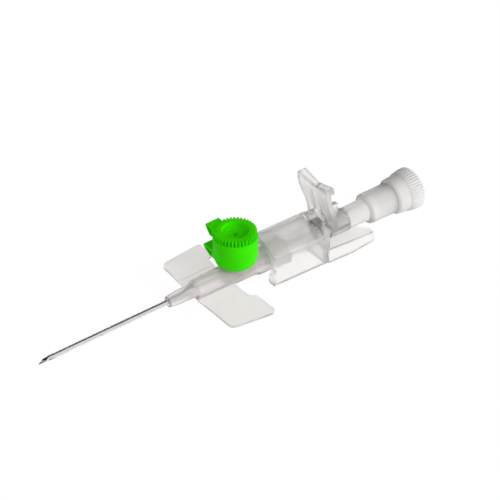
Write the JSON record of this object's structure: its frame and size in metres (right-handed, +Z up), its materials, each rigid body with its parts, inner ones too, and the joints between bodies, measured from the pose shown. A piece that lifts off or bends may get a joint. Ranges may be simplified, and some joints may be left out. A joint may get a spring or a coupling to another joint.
{
  "type": "iv cannula",
  "caption": "Ported, winged intravenous cannula over a needle, with green port cap, clear needle grip with thumb plate and finger ears, and white luer stopper.",
  "frame": {"origin": "on the needle axis, at the front face of the hub nose where the catheter tube enters the hub", "axes": "+X along the needle axis from the tip towards the stopper, +Z up along the injection port"},
  "size_m": [0.1052, 0.0277, 0.0197],
  "materials": {
    "steel": "drawn and polished stainless tube",
    "catheter_plastic": "translucent soft extrusion",
    "clear_hub": "clear moulded, smooth",
    "clear_grip": "clear moulded, slightly frosted",
    "clear_chamber": "clear moulded, smooth",
    "silicone": "soft translucent silicone",
    "green_plastic": "semi-gloss moulded",
    "dark_plastic": "matt",
    "filter_plastic": "porous sintered",
    "white_plastic": "satin moulded"
  },
  "bodies": {
    "catheter_unit": {"catheter_tube": "catheter_plastic", "catheter_eyelet": "steel", "catheter_hub": "clear_hub", "port_valve": "silicone"},
    "port_collar": {"port_collar": "green_plastic"},
    "port_cap": {"port_cap": "green_plastic"},
    "needle_unit": {"needle": "steel", "needle_grip": "clear_grip", "needle_bush": "dark_plastic", "flash_chamber": "clear_chamber", "vent_filter": "filter_plastic"},
    "stopper": {"stopper": "white_plastic"}
  },
  "joints": [
    {"name": "needle_withdraw", "type": "slide", "parent": "catheter_unit", "child": "needle_unit", "axis": [1, 0, 0], "range_m": [0, 0.072]},
    {"name": "collar_turn", "type": "hinge", "parent": "catheter_unit", "child": "port_collar", "pos_m": [0.0189, 0, 0.006], "axis": [0, 0, 1], "range_deg": [-60, 180]},
    {"name": "cap_lift", "type": "slide", "parent": "port_collar", "child": "port_cap", "axis": [0, 0, 1], "range_m": [0, 0.009]},
    {"name": "stopper_pull", "type": "slide", "parent": "needle_unit", "child": "stopper", "axis": [1, 0, 0], "range_m": [0, 0.012]}
  ]
}
